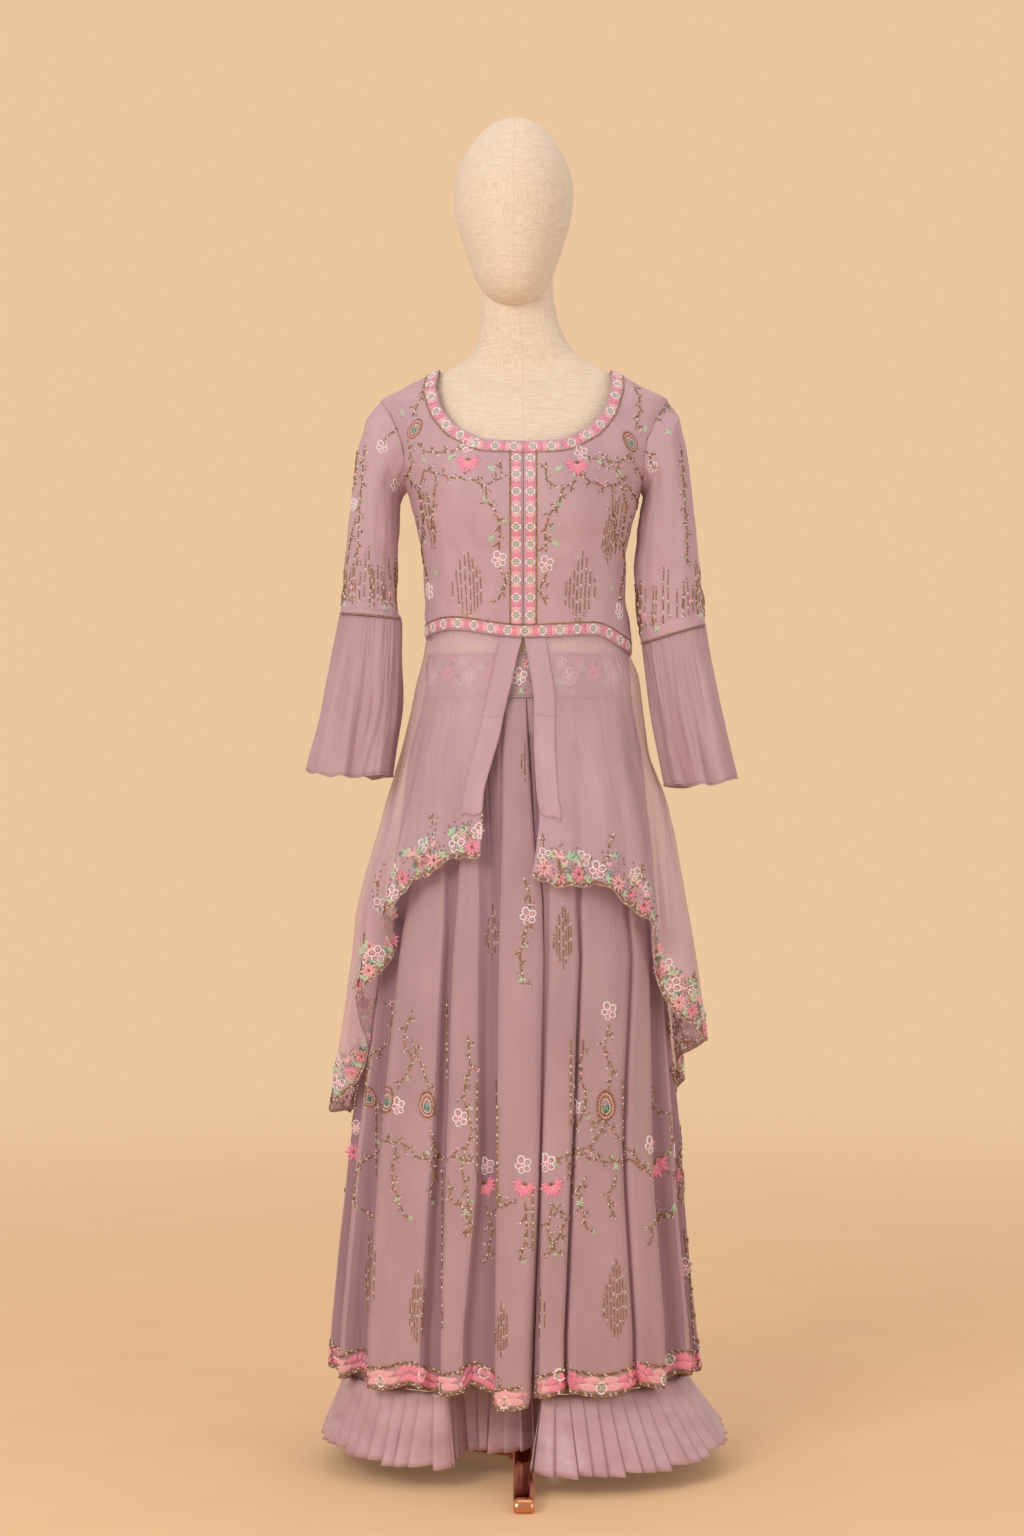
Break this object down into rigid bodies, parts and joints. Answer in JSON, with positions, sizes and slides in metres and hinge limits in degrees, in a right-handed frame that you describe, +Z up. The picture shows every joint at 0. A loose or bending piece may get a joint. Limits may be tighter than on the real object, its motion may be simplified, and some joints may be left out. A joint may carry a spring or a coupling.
{
  "type": "sharara set on a dress form",
  "caption": "Embroidered georgette sharara set: fitted top with flounced sleeves and a high-low peplum over wide pleated legs, on a limbless dress form with a tripod stand.",
  "frame": {"origin": "on the floor under the pole of the dress form", "axes": "+Z up, the front of the garment faces -Y, +X is the wearer's left"},
  "size_m": [0.546, 0.4816, 1.709],
  "materials": {
    "georgette": "matt crinkled georgette, dusty mauve",
    "sheer_georgette": "sheer matt georgette, dusty mauve",
    "embroidered_band": "matt georgette under embroidery",
    "lining": "soft satin lining",
    "pleated_satin": "pleated satin-backed lining",
    "linen": "fine cream linen, glued smooth",
    "rose_gold": "polished rose-gold plating"
  },
  "bodies": {
    "root": {"form_head": "linen", "form_torso": "linen", "stand_pole": "rose_gold", "stand_hub": "rose_gold", "stand_foot_front": "rose_gold", "stand_foot_left": "rose_gold", "stand_foot_right": "rose_gold", "bodice_front_left": "georgette", "bodice_front_right": "georgette", "bodice_back": "georgette", "sleeve_left": "georgette", "sleeve_right": "georgette", "flounce_left": "georgette", "flounce_right": "georgette", "peplum_front_left": "sheer_georgette", "peplum_front_right": "sheer_georgette", "peplum_back": "sheer_georgette", "front_facing_left": "georgette", "front_facing_right": "georgette", "waist_belt": "embroidered_band", "overlay_left": "georgette", "overlay_right": "georgette", "leg_left": "lining", "leg_right": "lining", "ruffle_left": "pleated_satin", "ruffle_right": "pleated_satin"}
  },
  "joints": []
}
